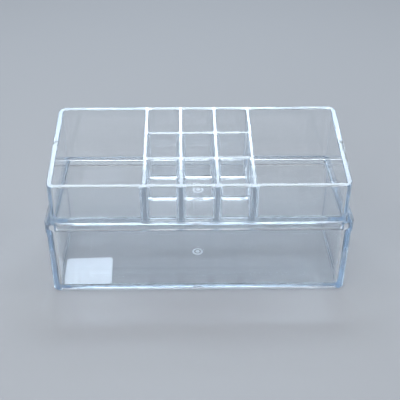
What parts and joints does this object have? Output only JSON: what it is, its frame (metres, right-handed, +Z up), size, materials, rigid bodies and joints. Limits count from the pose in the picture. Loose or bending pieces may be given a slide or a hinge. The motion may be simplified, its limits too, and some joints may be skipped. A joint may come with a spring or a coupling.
{
  "type": "lipstick holder",
  "caption": "Clear moulded two-tier vanity organiser: an open storage box with a lift-off tray of lipstick cells and side compartments on top, its rim sloping down to the front.",
  "frame": {"origin": "middle of the box's standing face", "axes": "+Z up, +X along the wide side to the right seen from the front, +Y towards the back"},
  "size_m": [0.24, 0.103, 0.1171],
  "materials": {
    "clear_box": "clear gloss polystyrene",
    "clear_tray": "clear gloss polystyrene",
    "label_paper": "matt uncoated"
  },
  "bodies": {
    "box": {"storage_box": "clear_box", "blank_label": "label_paper"},
    "tray": {"lipstick_tray": "clear_tray"}
  },
  "joints": [
    {"name": "tray_lift", "type": "slide", "parent": "box", "child": "tray", "axis": [0, 0, 1], "range_m": [0, 0.08]}
  ]
}
